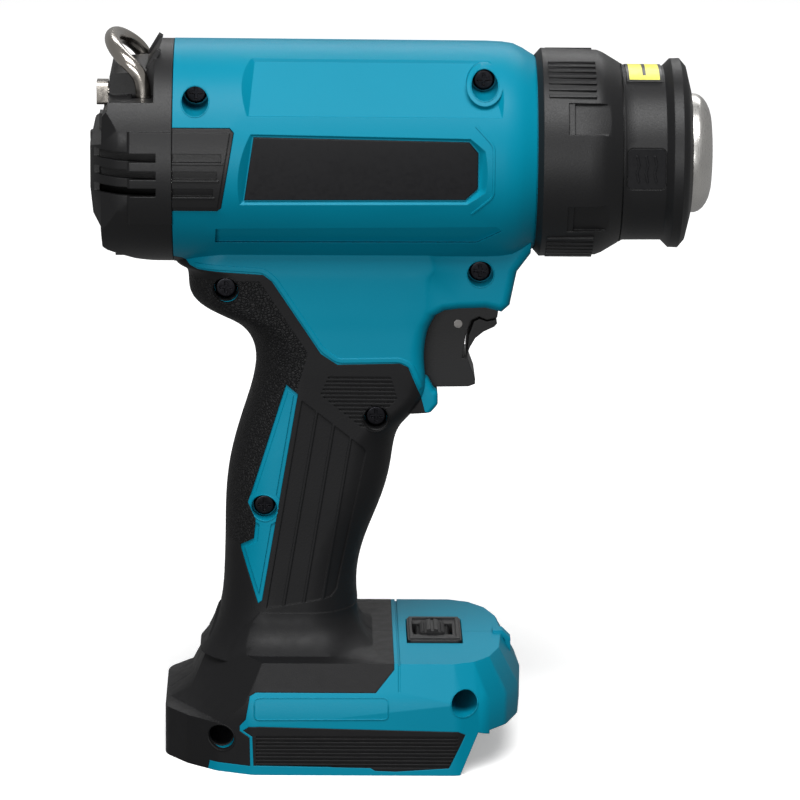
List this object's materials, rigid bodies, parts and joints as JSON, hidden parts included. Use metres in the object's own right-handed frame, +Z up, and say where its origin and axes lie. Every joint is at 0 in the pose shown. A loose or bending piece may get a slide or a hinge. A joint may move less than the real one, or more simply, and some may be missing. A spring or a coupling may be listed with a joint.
{
  "type": "cordless heat gun",
  "caption": "Cordless pistol-grip heat gun body with steel hot-air nozzle, twist cover, soft grip, folding hook and slide-on battery foot.",
  "frame": {"origin": "centre of the tool's length and width, on the underside of the battery foot", "axes": "+X towards the nozzle, +Y to the holder's left, +Z up; the screw heads are on the -Y side"},
  "size_m": [0.1864, 0.078, 0.2215],
  "materials": {
    "teal_plastic": "fine moulded grain",
    "soft_black": "leather grain",
    "black_plastic": "satin moulded",
    "label_black": "smooth",
    "teal_trigger": "satin moulded",
    "label_yellow": "printed film",
    "stainless": "satin",
    "nickel": "plated",
    "screw_black": "black oxide",
    "mica": "mica sheet",
    "ceramic": "ceramic",
    "heating_wire": "resistance wire",
    "rotor_core": "laminated core",
    "copper": "bare contact",
    "circuit_board": "laminate board",
    "board_black": "moulded components",
    "lead_jacket": "insulated wire"
  },
  "bodies": {
    "tool": {"housing_right": "teal_plastic", "housing_left": "teal_plastic", "cover_latch": "black_plastic", "grip_overmould_right": "soft_black", "grip_overmould_left": "soft_black", "foot_bumper_right": "soft_black", "foot_bumper_left": "soft_black", "vent_panel_right": "black_plastic", "vent_panel_left": "black_plastic", "rear_cover": "black_plastic", "temperature_bezel": "black_plastic", "switch_body": "black_plastic", "terminal_block": "black_plastic", "fan_duct": "black_plastic", "wheel_cheeks": "black_plastic", "label_plate_right": "label_black", "label_plate_left": "label_black", "nozzle": "stainless", "heat_shield": "stainless", "motor_can": "stainless", "bearing_rear": "stainless", "bearing_front": "stainless", "wheel_shaft": "stainless", "intake_filter": "stainless", "barrel_screws": "screw_black", "grip_screws": "screw_black", "foot_screws": "screw_black", "mica_sleeve": "mica", "insulating_ring": "mica", "heater_core": "ceramic", "heater_coil": "heating_wire", "motor_terminals": "copper", "switch_terminals": "copper", "terminal_blades": "copper", "main_board": "circuit_board", "control_board": "circuit_board", "board_parts": "board_black", "battery_lead_positive": "lead_jacket", "battery_lead_negative": "lead_jacket"},
    "rotor": {"fan_impeller": "black_plastic", "motor_rotor": "rotor_core", "motor_shaft": "stainless"},
    "trigger": {"trigger": "teal_trigger", "switch_plunger": "black_plastic", "lever_pin": "stainless"},
    "lever": {"trigger_lever": "black_plastic"},
    "hook": {"hook": "nickel"},
    "cover": {"nozzle_cover": "black_plastic", "badge_right": "black_plastic", "badge_left": "black_plastic", "caution_label": "label_yellow"},
    "wheel": {"temperature_wheel": "black_plastic"},
    "selector": {"airflow_knob": "nickel"}
  },
  "joints": [
    {"name": "fan_spin", "type": "hinge", "parent": "tool", "child": "rotor", "pos_m": [-0.011, 0, 0.185], "axis": [1, 0, 0], "continuous": true},
    {"name": "trigger_pull", "type": "slide", "parent": "tool", "child": "trigger", "axis": [-1, 0, 0], "range_m": [0, 0.005], "stiffness_N_per_m": 1500, "springref_m": -0.003},
    {"name": "lock_off", "type": "hinge", "parent": "trigger", "child": "lever", "pos_m": [0.0178, 0, 0.1337], "axis": [0, 1, 0], "range_deg": [0, 5], "stiffness_Nm_per_rad": 0.05, "springref_deg": -8.59},
    {"name": "hook_fold", "type": "hinge", "parent": "tool", "child": "hook", "pos_m": [-0.0767, 0, 0.202], "axis": [0, -1, 0], "range_deg": [0, 18]},
    {"name": "cover_twist", "type": "hinge", "parent": "tool", "child": "cover", "pos_m": [0.06, 0, 0.185], "axis": [1, 0, 0], "range_deg": [0, 30]},
    {"name": "temperature_set", "type": "hinge", "parent": "tool", "child": "wheel", "pos_m": [0.0114, 0, 0.03], "axis": [0, 1, 0], "range_deg": [0, 270]},
    {"name": "airflow_select", "type": "hinge", "parent": "tool", "child": "selector", "pos_m": [-0.088, -0.0115, 0.2048], "axis": [1, 0, 0], "range_deg": [0, 90]}
  ]
}
